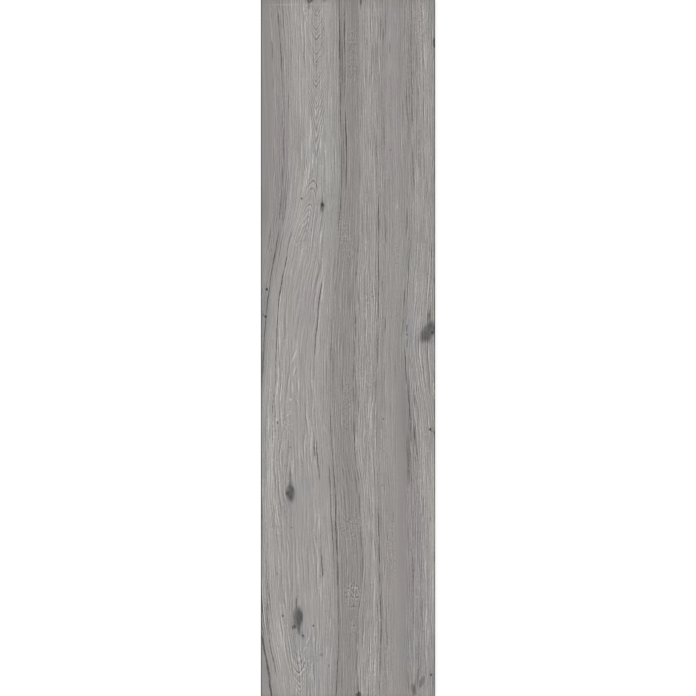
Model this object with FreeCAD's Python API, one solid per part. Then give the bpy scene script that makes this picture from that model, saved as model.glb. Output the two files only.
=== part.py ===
"""Wood look porcelain floor plank: one pressed, fired and rectified tile, in millimetres.

The tile lies flat. X runs across the grain, Y along it and Z up to the printed face.
The origin is the middle of the tile on the plane of the back's rib tops, which is what the
tile rests on, or is bedded on.
"""

import FreeCAD, Part
import os

# The rectified slab, ground square on all four sides
TILE_WIDTH = 300.0
TILE_LENGTH = 1200.0
TILE_THICKNESS = 9.5
FACE_ARRIS = 1.0

# The keyed back, shallow pockets between raised ribs inside a plain border
POCKETS_ACROSS = 10
POCKETS_ALONG = 42
BORDER_WIDTH = 10.0
RIB_WIDTH = 2.4
KEY_DEPTH = 0.8
KEY_SLOPE = 0.8
KEY_CORNER_CUT = 3.0

# How much of the slope comes off the leg of a corner cut when the outline is drawn in
CUT_SHRINK = 2 - 2 ** 0.5


def rectified_slab():
    """The ground slab, with an arris at 45 degrees along all four edges of its face."""
    slab = Part.makeBox(
        TILE_WIDTH,
        TILE_LENGTH,
        TILE_THICKNESS,
        FreeCAD.Vector(-TILE_WIDTH / 2, -TILE_LENGTH / 2, 0),
    )
    face_edges = [edge for edge in slab.Edges if lies_on_face(edge)]
    return slab.makeChamfer(FACE_ARRIS, face_edges)


def lies_on_face(edge):
    """True for an edge of the slab's upper face."""
    return all(abs(corner.Z - TILE_THICKNESS) < 1e-6 for corner in edge.Vertexes)


def cut_corner_ring(width, length, cut, height):
    """The eight corners, counter-clockwise, of a rectangle whose corners are cut off."""
    ring = []
    for side_x, side_y in ((1, -1), (1, 1), (-1, 1), (-1, -1)):
        on_end = FreeCAD.Vector(side_x * (width / 2 - cut), side_y * length / 2, height)
        on_side = FreeCAD.Vector(side_x * width / 2, side_y * (length / 2 - cut), height)
        ring += [on_end, on_side] if side_x * side_y < 0 else [on_side, on_end]
    return ring


def polygon_face(corners):
    """A flat face with these corners."""
    return Part.Face(Part.makePolygon([*corners, corners[0]]))


def pocket_plug(width, length):
    """The space of one pocket: widest at the rib tops, with walls that slope in to its floor."""
    mouth = cut_corner_ring(width, length, KEY_CORNER_CUT, 0)
    floor = cut_corner_ring(
        width - 2 * KEY_SLOPE,
        length - 2 * KEY_SLOPE,
        KEY_CORNER_CUT - KEY_SLOPE * CUT_SHRINK,
        KEY_DEPTH,
    )
    faces = [polygon_face(mouth), polygon_face(floor)]
    for here in range(len(mouth)):
        after = (here + 1) % len(mouth)
        faces.append(polygon_face([mouth[here], mouth[after], floor[after], floor[here]]))
    return Part.makeSolid(Part.makeShell(faces))


def keyed_back():
    """The plugs of all the pockets, evenly spaced inside the border."""
    pitch_x = (TILE_WIDTH - 2 * BORDER_WIDTH + RIB_WIDTH) / POCKETS_ACROSS
    pitch_y = (TILE_LENGTH - 2 * BORDER_WIDTH + RIB_WIDTH) / POCKETS_ALONG
    plug = pocket_plug(pitch_x - RIB_WIDTH, pitch_y - RIB_WIDTH)
    plugs = []
    for column in range(POCKETS_ACROSS):
        for row in range(POCKETS_ALONG):
            place = FreeCAD.Vector(
                (column - (POCKETS_ACROSS - 1) / 2) * pitch_x,
                (row - (POCKETS_ALONG - 1) / 2) * pitch_y,
                0,
            )
            plugs.append(plug.translated(place))
    return Part.makeCompound(plugs)


def plank_tile():
    """The whole tile, one solid."""
    return rectified_slab().cut(keyed_back())


os.makedirs("parts", exist_ok=True)
tile = plank_tile()
tile.exportStep("parts/plank_tile.step")
size = tile.BoundBox
print(f"plank_tile measures {size.XLength:.2f} x {size.YLength:.2f} x {size.ZLength:.2f} mm")
print(f"{len(tile.Solids)} solid, {len(tile.Faces)} faces, {tile.Volume / 1e6:.4f} litres")
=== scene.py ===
# %% [markdown]
# # A wood look porcelain plank
#
# The object is one floor tile, 300 x 1200 mm and 9.5 mm thick. Dry clay powder is pressed
# into a slab, a printer lays the picture of an old grey oak board on it, a matt glaze goes
# over the ink, and one firing turns it all into one piece of porcelain. Its four sides are
# then ground square, and the edges of the face get a narrow arris.
#
# The frame holds that slab at its real size. This script makes its surfaces: a face with the
# grain pressed into it and printed on it in register, ground edges, and the fired back.

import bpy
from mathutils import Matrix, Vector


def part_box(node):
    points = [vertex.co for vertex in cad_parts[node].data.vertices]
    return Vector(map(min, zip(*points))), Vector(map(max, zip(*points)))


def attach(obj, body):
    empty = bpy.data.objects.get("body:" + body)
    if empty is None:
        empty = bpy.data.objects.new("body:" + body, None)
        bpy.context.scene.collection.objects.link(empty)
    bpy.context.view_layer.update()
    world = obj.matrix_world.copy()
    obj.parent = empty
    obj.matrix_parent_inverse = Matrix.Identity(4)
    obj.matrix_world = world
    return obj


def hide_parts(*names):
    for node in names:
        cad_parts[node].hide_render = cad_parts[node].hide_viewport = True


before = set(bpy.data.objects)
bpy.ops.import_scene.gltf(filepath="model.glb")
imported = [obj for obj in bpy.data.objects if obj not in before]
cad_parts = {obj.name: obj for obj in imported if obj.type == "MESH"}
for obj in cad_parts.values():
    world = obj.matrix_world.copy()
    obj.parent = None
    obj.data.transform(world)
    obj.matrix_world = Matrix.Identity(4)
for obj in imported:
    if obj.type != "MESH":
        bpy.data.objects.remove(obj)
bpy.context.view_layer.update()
print("the frame holds", sorted(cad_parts))

# %% [markdown]
# ## The sizes of the tile
#
# The outer size is read from the frame, so the visible tile fills the same box. The arris and
# the keyed back repeat the real sizes that the slab was drawn with. Everything is in metres
# here, and the print alone is laid out in millimetres, as a print designer would.

# %% Read the slab's size and name its details
import math

import bmesh
import bpy
from mathutils import Vector

MM = 0.001

slab_low, slab_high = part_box("plank_tile")
WIDTH = slab_high.x - slab_low.x
LENGTH = slab_high.y - slab_low.y
THICKNESS = slab_high.z
ARRIS = 1.0 * MM

BORDER = 10.0 * MM
RIB = 2.4 * MM
KEY_DEPTH = 0.8 * MM
KEY_SLOPE = 0.8 * MM
KEY_CUT = 3.0 * MM
KEYS_ACROSS = 10
KEYS_ALONG = 42

WIDTH_MM = WIDTH / MM
LENGTH_MM = LENGTH / MM
print(f"the tile is {WIDTH_MM:.1f} x {LENGTH_MM:.1f} x {THICKNESS / MM:.1f} mm")

# %% [markdown]
# ## Two small helpers
#
# Every material and every geometry tree is a net of nodes. Adding a node takes several lines
# by hand, so one function does it: it makes the node, sets its properties and feeds its
# inputs, each from a number, another node or one named output of a node. Colours are written
# as hex values, as in a paint program, and a second function turns them into the linear
# numbers that light is reckoned in.

# %% Add a node, and read a colour
def add(tree, kind, feeds=(), **settings):
    """Adds a node with these properties. feeds are its inputs, in order or by name."""
    made = tree.nodes.new(kind)
    for name, value in settings.items():
        setattr(made, name, value)
    for key, feed in feeds.items() if isinstance(feeds, dict) else enumerate(feeds):
        if isinstance(feed, bpy.types.Node):
            feed = next(socket for socket in feed.outputs if socket.enabled)
        if isinstance(feed, bpy.types.NodeSocket):
            tree.links.new(feed, made.inputs[key])
        elif feed is not None:
            made.inputs[key].default_value = feed
    return made


def linear(hex_colour):
    """A hex sRGB colour as linear red, green, blue and alpha."""
    shares = [int(hex_colour[at : at + 2], 16) / 255 for at in (1, 3, 5)]
    return (*(s / 12.92 if s <= 0.04045 else ((s + 0.055) / 1.055) ** 2.4 for s in shares), 1.0)


# %% [markdown]
# ## How the grain runs
#
# The printed board has a life of its own: its grain runs down the left side, swings out to
# the left edge past the middle, comes back near the foot, and bends round a knot on the
# right. A handful of guide lines, drawn over the board, say all of that. Each one gives its
# distance from the left edge at a few distances down from the top.
# Between two neighbouring guides the grain is spread evenly. That makes a new measure across
# the board, called the grain line here: it keeps its number all the way down one fibre, so
# anything drawn by it follows the wood.

# %% Guide lines: (mm down from the top edge, mm from the left edge)
GUIDES = (
    (-25, ((0, -25), (300, -25), (480, -40), (640, -60), (900, -60), (1090, -45), (1200, -25))),
    (38, ((0, 29), (60, 33), (110, 36.5), (170, 38.5), (290, 38), (370, 33.5), (440, 24),
          (490, 16), (545, 9), (600, 4), (690, -2), (800, -6), (950, -5), (1050, -3),
          (1100, 3), (1150, 11.5), (1200, 20))),
    (76, ((0, 78), (100, 80), (200, 80), (300, 77), (370, 66), (410, 52), (450, 43),
          (500, 33), (545, 28.5), (610, 25), (660, 24), (710, 19.5), (760, 20), (850, 21),
          (910, 25), (980, 30), (1060, 33.5), (1110, 40), (1150, 47), (1200, 51))),
    (110, ((0, 112), (120, 112), (200, 111), (300, 113), (400, 112), (450, 109), (490, 104),
           (545, 97), (600, 92), (650, 91), (720, 94), (790, 98), (850, 101), (920, 103),
           (980, 106), (1080, 105), (1200, 103))),
    (137, ((0, 136), (100, 137), (200, 137), (270, 138.5), (330, 137), (395, 132),
           (435, 129), (500, 124), (600, 121), (690, 120.5), (784, 123.5), (853, 127.5),
           (900, 128.5), (945, 131.5), (1034, 134), (1090, 133.6), (1164, 131), (1200, 129))),
    (167, ((0, 166), (200, 168), (380, 169), (430, 167.5), (480, 164.5), (560, 162.5),
           (660, 160), (780, 161), (835, 168), (900, 171.5), (960, 175), (1015, 173),
           (1060, 168), (1120, 165.5), (1200, 163))),
    (200, ((0, 199), (250, 200), (330, 202), (400, 202.5), (530, 202.5), (620, 201),
           (660, 200), (780, 200), (845, 201), (930, 203), (1000, 205.5), (1110, 206),
           (1200, 203.5))),
    (259, ((0, 259), (200, 259.5), (270, 262), (320, 264), (380, 264), (440, 261),
           (500, 257), (550, 252), (590, 248), (630, 249.5), (690, 252.5), (750, 254.5),
           (800, 257), (850, 260), (900, 261.5), (1000, 262), (1100, 262), (1200, 264))),
    (282, ((0, 282), (330, 284), (430, 281), (500, 277), (560, 271), (600, 270), (630, 274),
           (670, 280), (710, 286), (750, 289), (950, 286), (1100, 286), (1200, 286))),
    (325, ((0, 325), (430, 326), (570, 335), (700, 330), (1200, 325))),
)
GUIDE_REACH_MM = 100.0
print(len(GUIDES), "guide lines carry the grain")

# %% [markdown]
# ## Hairlines, veins and streaks
#
# On those grain lines lie the marks that make this board this board. Most are hairlines, a
# millimetre or so wide: cracks and pores that take much ink, and pale lines of hard early
# wood beside them. Some are broader and softer. Each mark is a long lens that fades at both
# ends. It is given by the place of its middle, its half length, and the grey levels that it
# adds or takes. A long line that changes as it goes is several marks in a row.

# %% Marks along the grain: (across, down, half length, grey levels)
# Broad veins and pale streaks give a half width too, before the half length
HAIRLINES = (
    (20, 88, 24, -44), (21.5, 143, 18, -26), (22, 265, 24, -12), (31, 40, 34, -44),
    (34.4, 88, 40, -44), (39, 32, 22, -26), (36.6, 132, 42, -38), (48, 178, 20, -22),
    (37, 206, 20, -26), (39, 250, 34, -34), (37, 305, 26, -46), (34.3, 352, 34, -58),
    (27, 425, 36, -46), (20, 462, 34, -58), (13, 513, 34, -66), (7, 572, 34, -58),
    (4.5, 620, 34, -40), (47, 315, 30, -26), (42, 360, 34, -42), (35, 422, 30, -34),
    (28.5, 460, 30, -24), (48.5, 418, 26, -40), (41, 460, 32, -58), (33, 502, 36, -64),
    (29, 550, 36, -66), (27, 596, 30, -52), (25, 640, 34, -40), (21, 692, 26, -44),
    (20.5, 730, 28, -22), (15.5, 408, 30, -24), (16, 745, 14, -28), (22, 790, 30, -16),
    (135.3, 40, 80, -50), (136.3, 100, 90, -42), (137, 190, 60, -46), (139.5, 290, 50, -40),
    (137, 355, 26, -40), (134, 385, 20, -40), (144, 62, 56, -54), (144.5, 140, 40, -30),
    (140, 110, 50, -34), (145.5, 212, 26, -44), (147, 246, 40, -84), (147, 300, 34, -60),
    (143, 255, 50, -22), (103.3, 500, 18, -84), (100, 524, 22, -92), (97.5, 556, 26, -84),
    (94, 590, 26, -66), (92, 628, 34, -36), (120, 608, 22, -40), (121, 575, 30, -24),
    (120.5, 745, 44, -28), (124, 795, 26, -26), (92.5, 776, 20, -46), (97, 775, 22, -70),
    (98.5, 797, 16, -56), (100.5, 815, 16, -50), (118.6, 822, 26, -48), (120.8, 868, 34, -54),
    (123, 918, 34, -46), (125.5, 960, 26, -28), (126.3, 825, 24, -40), (129, 872, 28, -52),
    (128.6, 908, 18, -66), (130.6, 940, 22, -72), (132, 990, 34, -52), (133.4, 1050, 40, -34),
    (133.5, 1105, 26, -52), (132, 1145, 26, -50), (130.5, 1182, 26, -46), (103.5, 930, 30, -16),
    (105.5, 966, 14, -50), (106.6, 984, 13, -84), (2.5, 1078, 26, -50), (10.5, 1010, 60, -30),
    (11.6, 1068, 34, -52), (17.3, 1118, 30, -56), (24, 1146, 24, -44), (206.5, 46, 26, -36),
    (215, 42, 26, -32), (199, 96, 22, -26), (211, 62, 14, -26), (183, 78, 14, -22),
    (172.5, 6, 12, -44), (247, 34, 40, -24), (258.8, 60, 80, -36), (259.8, 165, 60, -40),
    (250.5, 170, 40, -26), (253, 215, 34, -24), (262.5, 290, 44, -36), (251, 380, 34, -24),
    (199, 255, 40, -26), (212, 232, 40, -22), (202.5, 372, 44, -56), (202.6, 455, 50, -52),
    (202.5, 525, 36, -40), (201.5, 600, 40, -34), (198.5, 660, 34, -18), (215, 405, 20, -26),
    (214.5, 560, 18, -40), (209, 490, 16, -20), (157, 310, 22, -24), (171, 300, 40, -18),
    (174.5, 380, 34, -16), (167.5, 425, 24, -30), (164.5, 468, 24, -30), (168, 512, 18, -26),
    (163.3, 560, 30, -46), (161.5, 600, 18, -44), (160, 640, 22, -50), (159, 680, 20, -46),
    (168, 700, 14, -36), (160.5, 742, 26, -58), (162, 785, 20, -40), (164, 830, 26, -40),
    (167.5, 820, 16, -30), (170, 868, 26, -40), (173, 930, 30, -34), (174.6, 975, 26, -30),
    (169, 1050, 26, -34), (167, 1092, 24, -40), (165.3, 1140, 26, -34), (167, 1176, 18, -32),
    (202.3, 905, 34, -50), (203.6, 955, 26, -62), (204.8, 995, 22, -44), (196, 938, 14, -32),
    (206.4, 1046, 34, -56), (206.8, 1092, 26, -62), (205.2, 1140, 30, -40), (204, 1185, 18, -36),
    (216, 1065, 36, -24), (217.5, 1100, 14, -30), (248.5, 618, 22, -76), (250, 645, 22, -62),
    (253.5, 680, 22, -44), (256, 712, 26, -48), (257.8, 748, 26, -54), (263.7, 688, 20, -40),
    (264.7, 750, 20, -60), (247, 515, 20, -42), (251, 566, 10, -56), (251.5, 592, 10, -46),
    (254.5, 462, 20, -26), (245, 560, 26, -18), (269, 780, 20, -24), (279.5, 872, 24, -30),
    (262, 985, 34, -24), (276, 975, 34, -26), (277, 1055, 30, -28), (262, 1060, 34, -20),
    (271, 1130, 30, -22), (284, 1150, 24, -22), (254, 1175, 22, -26), (294, 436, 14, -28),
    (289, 548, 14, -40), (152, 520, 26, -18), (126, 462, 24, -20), (142, 590, 34, -18),
    (140, 660, 30, -22), (113, 640, 26, -16), (60, 60, 26, -16), (106, 60, 40, -16),
    (113, 90, 30, -14), (66, 80, 22, -18), (74, 100, 14, -22), (181, 130, 16, -24),
    (188, 140, 14, -24), (222, 84, 12, -24), (244.5, 190, 26, -18), (285, 330, 30, -14),
    (292, 250, 30, -14), (284, 470, 22, -18), (31, 745, 26, -14), (40, 740, 16, -16),
    (48, 770, 20, -18), (63, 560, 34, -12), (70, 620, 26, -14), (77, 720, 20, -14),
    (25, 975, 30, -16), (22, 895, 22, -22), (150, 800, 34, -14), (145, 860, 26, -16),
    (188, 800, 34, -16), (213, 830, 26, -16), (228, 890, 14, -22), (231, 640, 30, -12),
)
PALE_LINES = (
    (86, 222, 26, 40), (84, 246, 16, 26), (89.5, 278, 18, 44), (83, 294, 20, 40),
    (78.5, 312, 14, 22), (103, 252, 18, 30), (111, 262, 18, 26), (106, 290, 16, 20),
    (71, 262, 22, 22), (94, 195, 14, 24), (116.5, 92, 26, 16), (121, 180, 22, 16),
    (133, 44, 22, 22), (282.5, 98, 30, 30), (279.5, 18, 16, 26), (196, 14, 16, 24),
    (191, 58, 26, 18), (231, 30, 14, 14), (222, 60, 22, 12), (106, 500, 26, 28),
    (101, 545, 30, 16), (31.5, 545, 60, 18), (32, 600, 50, 16), (29.5, 660, 30, 26),
    (44, 460, 26, 22), (58, 480, 20, 14), (180.5, 425, 18, 28), (181, 465, 22, 24),
    (181, 540, 16, 28), (182, 580, 18, 20), (62, 600, 22, 22), (14, 730, 26, 28),
    (18, 820, 30, 22), (8, 690, 40, 14), (52.5, 802, 20, 28), (26, 895, 14, 30),
    (165, 762, 18, 32), (190, 730, 34, 24), (179, 745, 12, 30), (191, 800, 34, 22),
    (183, 840, 20, 20), (193, 868, 30, 20), (194, 950, 30, 30), (195.5, 1010, 40, 24),
    (186, 905, 14, 26), (189, 1140, 26, 18), (197, 1150, 34, 18), (126, 890, 22, 20),
    (133, 870, 24, 16), (28, 880, 20, 22), (34, 1090, 24, 26), (31, 1130, 26, 20),
    (41, 1120, 30, 18), (75, 1035, 20, 26), (80, 1070, 20, 16), (269, 300, 24, 26),
    (269.5, 350, 24, 18), (267, 500, 30, 16), (283, 640, 26, 14), (294, 800, 34, 18),
    (289, 850, 30, 14), (297, 660, 24, 24), (299, 905, 26, 24), (284, 985, 36, 18),
    (285, 1070, 30, 20), (296, 1010, 40, 24), (288, 1090, 26, 16), (50, 1180, 20, 14),
    (100, 900, 26, 12), (70, 930, 30, 12),
)
BROAD_VEINS = (
    (138, 110, 7.0, 130, -8), (139, 300, 6.0, 100, -8), (254, 785, 4.2, 52, -30),
    (254, 820, 4.2, 26, -20), (256, 690, 3.4, 70, -10), (2, 640, 3.4, 60, -20),
    (1, 850, 1.8, 110, -40), (0.8, 1010, 1.8, 80, -40), (5.4, 1113, 2.6, 30, -66),
    (12.5, 1152, 2.6, 32, -70), (16.8, 1188, 2.4, 24, -66), (40, 330, 5.0, 90, -8),
    (208, 1080, 4.0, 90, -7), (162, 700, 4.2, 120, -9), (122, 640, 4.0, 90, -7),
    (127, 880, 4.0, 90, -7), (212, 350, 5.0, 180, -5), (276, 1060, 4.0, 130, -7),
    (262, 1010, 4.0, 150, -6), (48, 180, 3.0, 50, -8), (161, 560, 4.0, 60, -7),
    (256, 200, 6.0, 160, -6),
)
PALE_STREAKS = (
    (106, 505, 3.0, 60, 7), (99.5, 570, 3.0, 60, 8), (86, 260, 5.0, 50, 9),
    (16, 780, 4.0, 150, 12), (60, 620, 5.0, 50, 6), (126, 885, 2.4, 50, 6),
    (33, 1095, 4.0, 80, 7), (181, 480, 3.4, 110, 7), (188, 700, 4.0, 120, 6),
    (192.5, 850, 4.0, 90, 7), (195, 960, 4.0, 110, 8), (196, 1090, 4.0, 100, 6),
    (268, 470, 4.0, 90, 6), (267, 300, 4.0, 90, 6), (118, 30, 4.0, 70, 5),
    (295, 880, 6.0, 150, 6), (293, 1020, 5.0, 120, 6), (165, 770, 2.4, 40, 8),
    (36, 545, 6.0, 70, 4), (283, 100, 3.0, 40, 6),
)
HAIRLINE_HALF_WIDTH_MM = 1.15
print(len(HAIRLINES) + len(BROAD_VEINS), "dark marks")
print(len(PALE_LINES) + len(PALE_STREAKS), "pale marks")

# %% [markdown]
# ## Knots and pin knots
#
# A knot is a branch cut through. The large ones are soft dark shapes with a blacker heart, and
# the pin knots are dots of one to three millimetres. The fibres swerve round a large one. Each
# is built of ovals, so middle, half width, half length, tilt and grey levels say it all. Beside
# the knots stand the places where they push the fibres aside, and how far.

# %% Knots: (across, down, half width, half length, tilt in degrees if any, grey levels)
# Pin knots: (across, down, half width, grey levels)
# Swerves: (across, down, half width, half length, share of the way that fibres are pushed)
KNOTS = (
    (83.6, 1.5, 5.8, 7, -66), (83.6, 0.5, 2.2, 3, 36), (83, 11, 3.2, 10, -36),
    (88.5, 2, 3.4, 4, -30), (110, 1, 2.6, 5, -34), (172.5, 3, 3.0, 9, -36),
    (106, 353.8, 3.6, 4.2, -104), (106, 356, 5.2, 13, -30), (106, 352, 8, 18, -8),
    (287.6, 573, 14.5, 27, -36, -50), (284, 579, 9.5, 12, -36, -12),
    (291.5, 561, 5.0, 14, -16, -16), (290.5, 544, 2.8, 14, -24),
    (295.5, 573.3, 3.4, 3.6, -58), (299, 566.5, 2.4, 6, -56),
    (291, 588, 8.5, 7, -16),
    (51, 849, 10.2, 18, -48), (54.5, 843, 4.0, 7, -18), (52.3, 860, 4.6, 9, 8, -22),
    (45, 850, 4.0, 4.6, -34), (50.4, 834, 3.6, 11, -30), (50, 822, 2.2, 12, -14),
    (50.2, 851, 5.6, 9, -20), (52, 852, 14, 26, -6),
    (64, 1064, 10.8, 25, -42), (66, 1064, 5.4, 20, -24), (70.4, 1062, 2.4, 12, -34),
    (61.2, 1039, 1.9, 13, -40), (57, 1080, 4.6, 5.4, -50, -52), (65.5, 1086, 4.4, 10, -24),
    (70, 1092, 5.0, 14, 24, -16), (63, 1065, 13, 34, -7),
    (169, 1196, 4.0, 6.5, -92), (165, 1197, 3.0, 4, -44), (167.5, 1186, 2.0, 10, 8, -30),
    (263, 1188, 6.0, 14, 14, -32), (277, 1174, 5.4, 14, -18, -32), (268, 1172, 4.0, 34, -14, -20),
    (298.8, 75, 2.8, 11, -150), (299, 483, 2.0, 9, -44), (299, 567, 2.4, 7, -50),
    (299, 747, 2.0, 8, -50), (299.4, 960, 2.0, 14, -34),
)
PIN_KNOTS = (
    (70.4, 343, 2.5, -84), (10.3, 499, 3.0, -130), (8.3, 546, 3.0, -110), (4.6, 543, 2.0, -50),
    (28.7, 728.3, 2.5, -84), (210.5, 722, 2.3, -56), (291.3, 740, 3.0, -130),
    (294, 743, 1.8, -40), (293, 1162, 2.7, -100), (50.8, 771, 2.2, -40), (53, 909, 2.2, -44),
    (37.8, 1060.6, 2.5, -84), (90.2, 1077.6, 2.4, -84), (72.7, 1094.8, 2.6, -80),
    (104.3, 1127.5, 4.0, -32), (117, 1146, 2.6, -28), (291.5, 893, 2.6, -34),
    (209, 836, 2.6, -28), (222.5, 260, 2.2, -30), (251.5, 577, 2.6, -56), (28.5, 988, 2.0, -40),
    (76, 420, 1.8, -26),
)
SWERVES = (
    (105.6, 354, 11, 35, 0.55), (51, 850, 22, 67, 0.72), (63.5, 1068, 22, 74, 0.70),
    (83, 0, 18, 42, 0.60),
)
print(len(KNOTS), "knot ovals and", len(PIN_KNOTS), "pin knots")

# %% [markdown]
# ## The flower of the board
#
# Where a saw passes close to the heart of a tree, the year rings show as nested arches. On
# this board they point down near the top and the foot, and up in between, each set in one
# narrow column. A ring is a line on which (distance down + bend x a power of the distance
# from the middle of the column) stays the same. So two lists say all of a column: how much
# the arches bend at each height, and where on its middle each ring lies. The power says how
# pointed they are: 2 gives round ones, and 1 gives plain chevrons.

# %% Columns of arches. bends: (down, bend). rings: (down, half thickness, grey levels)
# middle and reach are in mm across, and span in mm down. lean moves the middle on the way
# down. points is 1 for arches that point down. skew makes the right side the steeper one.
ARCH_POWER = 1.4
ARCH_COLUMNS = {
    "Arches at the top": {
        "middle": 95.0, "lean": 0.0, "reach": 19.0, "span": (0.0, 290.0), "points": 1.0,
        "skew": -0.12,
        "bends": ((0, 0.75), (100, 0.8), (150, 1.0), (190, 1.6), (230, 2.6), (290, 3.4)),
        "rings": (
            (21, 1.6, -20), (24.5, 1.4, 14), (28, 1.6, -26), (31.5, 1.4, 18), (40, 3.0, 6),
            (48, 1.6, 16), (52.5, 1.8, -28), (56, 1.5, 14), (66, 1.6, 20), (70, 1.8, -34),
            (74, 1.5, 12), (84, 3.0, 5), (91, 1.6, 14), (95, 1.7, -26), (104, 1.6, 18),
            (108, 1.8, -28), (111.5, 1.2, 10), (115, 1.6, -18), (128, 4.0, 6), (138, 1.7, 12),
            (142, 1.8, -22), (147, 1.8, 22), (151.5, 2.0, -34), (156, 1.8, 12), (172, 2.2, 12),
            (178, 2.4, -16), (184, 2.2, 14), (189, 2.6, -28), (196, 3.0, 18), (205, 3.2, -20),
            (214, 3.4, 18), (224, 4.0, -24), (234, 4.0, 20), (246, 4.5, -20), (257, 5.0, 20),
            (270, 5.5, -18), (282, 5.0, 16),
        ),
    },
    "Arches at the knot": {
        "middle": 94.0, "lean": -0.14, "reach": 14.0, "span": (290.0, 440.0), "points": -1.0,
        "skew": 0.15,
        "bends": ((290, 0.5), (330, 0.6), (350, 0.75), (400, 1.1), (440, 1.4)),
        "rings": (
            (300, 1.5, 8), (308, 1.5, 16), (312, 1.8, -34), (316, 1.6, 18), (321, 1.5, 10),
            (325, 1.8, -28), (329, 1.6, 20), (340, 4.0, -4), (348, 1.5, 12), (352, 1.8, -28),
            (356, 1.7, 18), (361, 1.7, -16), (366, 1.8, 20), (373, 1.8, -14), (378, 1.8, 18),
            (385, 1.9, -12), (391, 2.0, 18), (398, 2.0, -14), (404, 2.0, 12), (414, 2.2, -8),
        ),
    },
    "Arches at the foot": {
        "middle": 64.0, "lean": 0.05, "reach": 15.0, "span": (1110.0, 1200.0), "points": 1.0,
        "skew": 0.1,
        "bends": ((1110, 0.7), (1160, 0.6), (1200, 0.9)),
        "rings": (
            (1124, 1.5, 10), (1130, 1.6, -14), (1137, 1.5, 12), (1143, 1.6, -16), (1149, 1.5, 14),
            (1154, 1.5, 12), (1159, 1.8, -38), (1163.5, 1.6, 24), (1168, 1.6, -14),
            (1174, 1.7, -24), (1178, 1.6, 26), (1183, 1.7, -18), (1187, 1.6, 20),
            (1192, 1.8, -14), (1196, 1.8, 14),
        ),
    },
}
print(sum(len(column["rings"]) for column in ARCH_COLUMNS.values()), "rings in the arches")

# %% [markdown]
# ## Short strokes
#
# Here and there a fleck lies across the grain or at a slant to it: a pale hook beside the top
# knot, a few bright slivers lower down, and a faint line across the head of the board.

# %% Strokes: (across, down, half width, half length, tilt in degrees if any, grey levels)
STROKES = (
    (40, 9.7, 38, 1.7, 13), (96, 9.7, 34, 1.6, 9), (77, 11.5, 4.2, 1.3, 22),
    (74, 17, 1.3, 5, 22), (77, 20.5, 3.6, 1.3, -20), (76, 25, 1.2, 4.5, -30, 20),
    (78.8, 33, 1.3, 9, 8, 26), (76.4, 32, 1.2, 8, 10, -22),
    (57, 615, 1.4, 15, -22, 30), (54.4, 613, 1.2, 12, -22, -14), (57.6, 640, 1.5, 13, -14, 34),
    (60, 641, 1.2, 12, -14, -18), (55.2, 668, 1.5, 15, 2, 30), (65.2, 665, 1.3, 17, 3, 24),
    (62.4, 666, 1.2, 15, 3, -18), (51.3, 688.7, 2.8, 2.8, 36), (62, 694, 1.2, 6, 25, -26),
    (64.6, 695, 1.2, 7, 25, 24), (67, 696, 1.1, 5, 25, -18), (45.5, 716, 1.3, 8, -45, 24),
    (43.6, 720, 1.2, 8, -45, -16), (50.4, 709, 1.2, 4, -50, 20), (46, 733, 1.2, 12, -10, 16),
    (81, 1103, 1.4, 9, -20, 34), (83.4, 1104, 1.1, 8, -20, -18), (78, 1115.5, 4.4, 1.3, 24),
    (84.6, 1087, 1.2, 10, 20), (90.4, 1102, 1.2, 7, -8, 22), (93, 1100, 1.2, 6, 8, 20),
    (113.4, 1123, 1.4, 15, -6, 30), (111.4, 1124, 1.1, 12, -6, -12),
    (76, 1136, 1.2, 5, 30, 20), (74.5, 1144, 1.2, 6, -30, -22), (78, 1148, 1.2, 5, 35, 18),
    (70, 1140, 1.2, 7, 14, -18), (84, 1162, 1.2, 6, -25, 22), (234.5, 356, 1.3, 7, 30),
    (160, 1044, 9, 1.3, -26), (157, 1048, 9, 1.2, 14),
)
print(len(STROKES), "short strokes")

# %% [markdown]
# ## Bands, shades and tints
#
# From left to right the board goes from a calm cool strip through a brown band to the pale
# middle, a dark band beside the crack, and a medium right half. Because these bands follow
# the grain, they are one curve over the grain line. Over them lie large soft shades, places
# where the fibres are calm, lively or stippled, and faint tints: cool, blue, mauve and green
# greys. The two shades that run the whole length are painted shade: dark lines along the
# long edges of the face, where it turns down into the arris.

# %% Bands over the grain line, and soft ovals: (across, down, half width, half length, amount)
BANDS = (
    (-25, 140), (0, 140), (18, 141), (21, 146), (27, 143), (36, 141), (42, 146), (50, 153),
    (60, 157), (80, 158), (95, 156), (112, 157), (122, 153), (132, 148), (138, 142), (146, 138),
    (160, 138), (166, 140), (170, 148), (178, 150), (187, 153), (196, 149), (207, 145),
    (217, 149), (227, 150), (238, 144), (248, 143), (258, 146), (270, 148), (280, 152),
    (290, 149), (325, 147),
)
BAND_LOW = 120.0
BAND_HIGH = 170.0
FIBRE_STRENGTH = (
    (-25, 0.12), (12, 0.16), (18.5, 0.2), (22, 0.75), (60, 0.85), (90, 0.9), (130, 0.85),
    (146, 0.7), (164, 0.7), (170, 1.0), (200, 1.1), (214, 0.8), (238, 0.6), (250, 1.0),
    (270, 1.15), (325, 1.1),
)
STRENGTH_TOP = 2.0
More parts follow.
